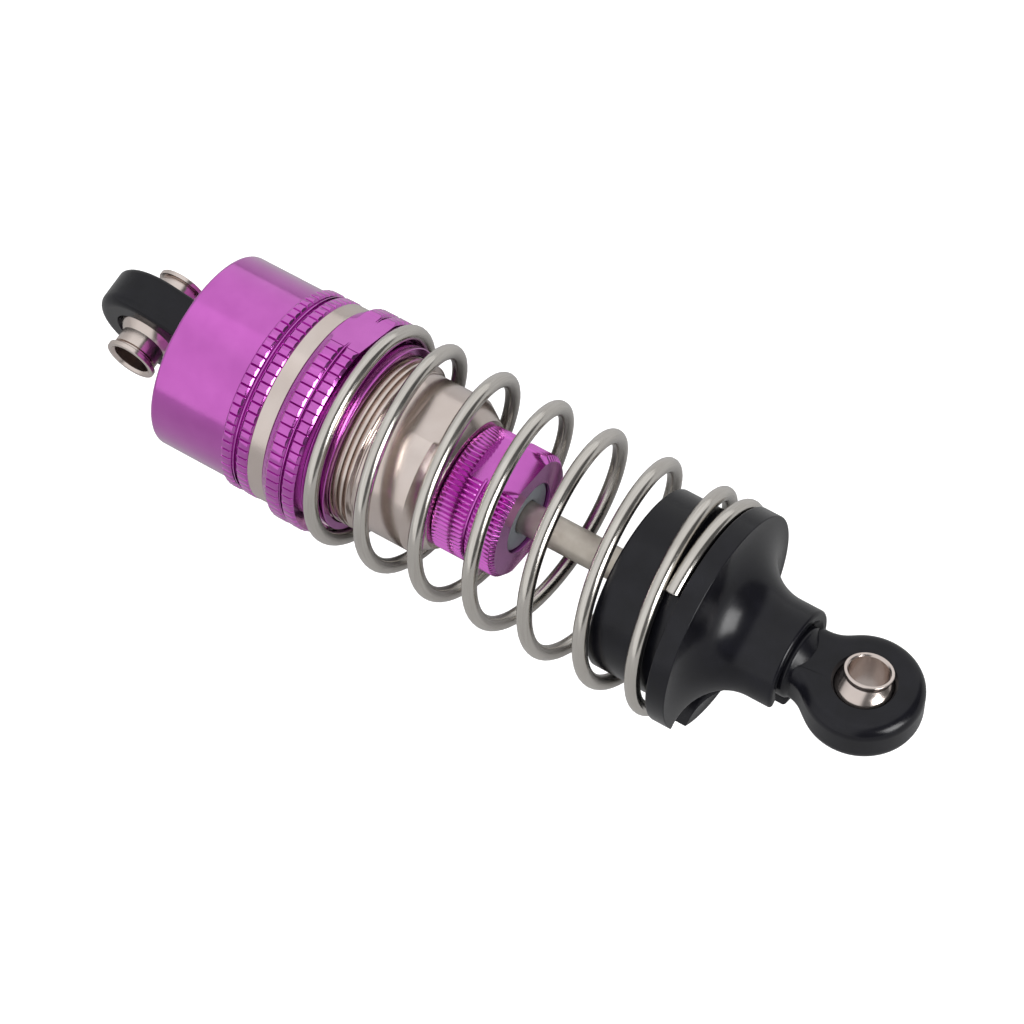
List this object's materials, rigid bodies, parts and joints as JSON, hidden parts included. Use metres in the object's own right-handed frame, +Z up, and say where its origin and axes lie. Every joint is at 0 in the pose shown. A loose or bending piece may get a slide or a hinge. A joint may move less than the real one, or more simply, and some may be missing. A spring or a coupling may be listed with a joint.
{
  "type": "coilover damper",
  "caption": "Oil-filled coilover damper for a model car, with threaded spring adjuster, coil spring, slotted spring seat and a pivot ball at each end.",
  "frame": {"origin": "centre of the upper pivot ball, on the damper's axis", "axes": "+X along the damper from the upper pivot to the lower pivot, +Y along the upper pivot's bolt, +Z up as the damper lies on its side"},
  "size_m": [0.0698, 0.0174, 0.0174],
  "materials": {
    "purple_anodised": "turned aluminium, bright violet anodising",
    "nickel_plate": "turned and electroless nickel plated, warm satin shine",
    "spring_steel": "bright drawn spring wire, nickel plated",
    "ground_steel": "ground and polished steel rod",
    "black_nylon": "moulded black nylon, satin",
    "grey_acetal": "turned grey acetal",
    "white_acetal": "moulded white acetal",
    "rubber": "black silicone rubber"
  },
  "bodies": {
    "root": {"upper_eye": "black_nylon", "top_cap": "purple_anodised", "bladder": "rubber", "cap_seal_ring": "rubber", "body": "nickel_plate", "seal_cap": "purple_anodised", "shaft_seal_upper": "rubber", "seal_spacer": "white_acetal", "shaft_seal_lower": "rubber", "shaft_guide": "grey_acetal"},
    "upper_ball": {"upper_pivot_ball": "nickel_plate"},
    "spring": {"coil_spring": "spring_steel", "adjuster_o_ring": "rubber"},
    "adjuster": {"adjuster_nut": "purple_anodised"},
    "seat": {"spring_seat": "black_nylon"},
    "rod": {"shaft": "ground_steel", "piston": "white_acetal", "piston_clip_upper": "ground_steel", "piston_clip_lower": "ground_steel", "rod_end": "black_nylon"},
    "lower_ball": {"lower_pivot_ball": "nickel_plate"}
  },
  "joints": [
    {"name": "rod_slide", "type": "slide", "parent": "root", "child": "seat", "axis": [-1, 0, 0], "range_m": [0, 0.0115], "stiffness_N_per_m": 676, "springref_m": -0.002, "deforming": ["coil_spring"]},
    {"name": "rod_spin", "type": "hinge", "parent": "seat", "child": "rod", "pos_m": [0.0501, 0, 0], "axis": [1, 0, 0], "continuous": true},
    {"name": "lower_ball_turn", "type": "hinge", "parent": "rod", "child": "lower_ball", "pos_m": [0.061, 0, 0], "axis": [0, 0.4179, 0.9085], "continuous": true},
    {"name": "upper_ball_turn", "type": "hinge", "parent": "root", "child": "upper_ball", "pos_m": [0, 0, 0], "axis": [0, 1, 0], "continuous": true},
    {"name": "preload_shift", "type": "slide", "parent": "root", "child": "spring", "axis": [1, 0, 0], "range_m": [0, 0.003], "deforming": ["coil_spring"]},
    {"name": "adjuster_turn", "type": "hinge", "parent": "spring", "child": "adjuster", "pos_m": [0.0181, 0, 0], "axis": [1, 0, 0], "range_deg": [0, 2160]}
  ],
  "couplings": [
    {"joint": "adjuster_turn", "follows": "preload_shift", "rad_per_m": 12566}
  ]
}
